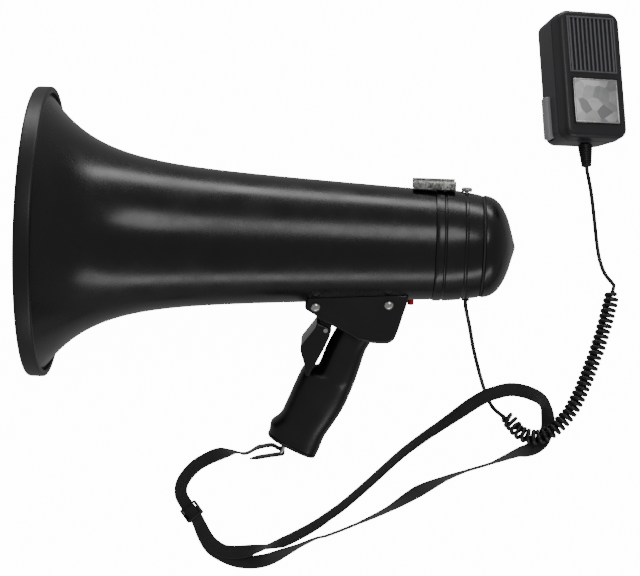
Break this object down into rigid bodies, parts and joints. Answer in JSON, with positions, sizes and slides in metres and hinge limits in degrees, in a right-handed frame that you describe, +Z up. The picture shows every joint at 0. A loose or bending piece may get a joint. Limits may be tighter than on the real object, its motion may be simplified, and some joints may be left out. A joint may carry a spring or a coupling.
{
  "type": "handheld megaphone",
  "caption": "Handheld megaphone: flared horn with folded reflector, pistol grip and trigger, rear battery housing, wrist strap and a hand microphone on a coiled cord.",
  "frame": {"origin": "middle of the footprint of the megaphone and its microphone, on the surface they lie on", "axes": "+X from the bell towards the rear cap, +Y from the grip towards the microphone, +Z up from the surface"},
  "size_m": [0.4422, 0.4107, 0.2068],
  "materials": {
    "anodised_aluminium": "anodised",
    "black_abs": "moulded, satin",
    "black_grip_abs": "moulded, satin",
    "black_pvc": "extruded, satin",
    "black_rubber": "matte",
    "black_webbing": "woven",
    "cell_jacket": "shrink sleeve",
    "circuit_board": "solder mask",
    "diaphragm_film": "film",
    "ferrite": "dark, matte",
    "grey_button": "moulded, satin",
    "microphone_abs": "moulded, satin",
    "nickel_plate": "nickel plated",
    "red_button": "moulded",
    "zinc_plated_steel": "zinc plated, spangled"
  },
  "bodies": {
    "megaphone": {"amplifier_board": "circuit_board", "battery_cell_1": "cell_jacket", "battery_cell_2": "cell_jacket", "battery_cell_3": "cell_jacket", "battery_cell_4": "cell_jacket", "battery_cell_5": "cell_jacket", "battery_cell_6": "cell_jacket", "battery_cell_7": "cell_jacket", "battery_cell_8": "cell_jacket", "battery_holder": "black_abs", "butt_plate": "black_grip_abs", "contact_plate": "nickel_plate", "cord_coil": "black_pvc", "cord_gland": "black_rubber", "cord_lead": "black_pvc", "cord_tail": "black_pvc", "driver_bulkhead": "black_abs", "driver_diaphragm": "diaphragm_film", "driver_front_plate": "zinc_plated_steel", "driver_gasket": "black_rubber", "driver_magnet": "ferrite", "driver_yoke": "zinc_plated_steel", "grip_left": "black_grip_abs", "grip_right": "black_grip_abs", "hanger_bracket": "zinc_plated_steel", "hanger_screw_1": "nickel_plate", "hanger_screw_2": "nickel_plate", "heat_sink": "anodised_aluminium", "horn_shell": "black_abs", "mic_back_shell": "microphone_abs", "mic_capsule": "zinc_plated_steel", "mic_front_shell": "microphone_abs", "mic_hanger_stud": "nickel_plate", "mic_label_plate": "zinc_plated_steel", "mic_ptt_spring": "nickel_plate", "mic_strain_relief": "black_rubber", "mic_switch": "ferrite", "rear_housing": "black_abs", "reflector_cup": "black_abs", "reflector_spider": "black_abs", "rim_bumper": "black_rubber", "saddle_screw_front": "nickel_plate", "saddle_screw_rear": "nickel_plate", "siren_switch": "ferrite", "slide_buckle": "black_abs", "strap_bar": "zinc_plated_steel", "strap_webbing": "black_webbing", "throat_tube": "black_abs", "trigger_pin": "nickel_plate", "trigger_spring": "nickel_plate", "trigger_switch": "ferrite", "volume_pot": "ferrite"},
    "trigger": {"trigger": "black_grip_abs"},
    "siren_button": {"siren_button": "red_button"},
    "volume_knob": {"volume_knob": "nickel_plate"},
    "end_cap": {"end_cap": "black_abs", "end_cap_seal": "black_rubber"},
    "mic_ptt_button": {"mic_ptt_button": "grey_button"}
  },
  "joints": [
    {"name": "trigger_squeeze", "type": "hinge", "parent": "megaphone", "child": "trigger", "pos_m": [0.00537, -0.06815, 0.04064], "axis": [0.1992, -0.3117, 0.9291], "range_deg": [0, 8], "stiffness_Nm_per_rad": 0.6, "springref_deg": -6.88, "deforming": ["trigger_spring"]},
    {"name": "siren_press", "type": "slide", "parent": "megaphone", "child": "siren_button", "axis": [0.0653, 0.9502, 0.3047], "range_m": [0, 0.0015], "stiffness_N_per_m": 700, "springref_m": -0.0012},
    {"name": "volume_turn", "type": "hinge", "parent": "megaphone", "child": "volume_knob", "pos_m": [0.10834, 0.0287, 0.05105], "axis": [-0.0653, -0.9502, -0.3047], "range_deg": [0, 270]},
    {"name": "end_cap_pull", "type": "slide", "parent": "megaphone", "child": "end_cap", "axis": [0.9778, 0, -0.2097], "range_m": [0, 0.05]},
    {"name": "ptt_press", "type": "slide", "parent": "megaphone", "child": "mic_ptt_button", "axis": [0.8342, 0.073, -0.5466], "range_m": [0, 0.002], "stiffness_N_per_m": 500, "springref_m": -0.0015, "deforming": ["mic_ptt_spring"]}
  ]
}
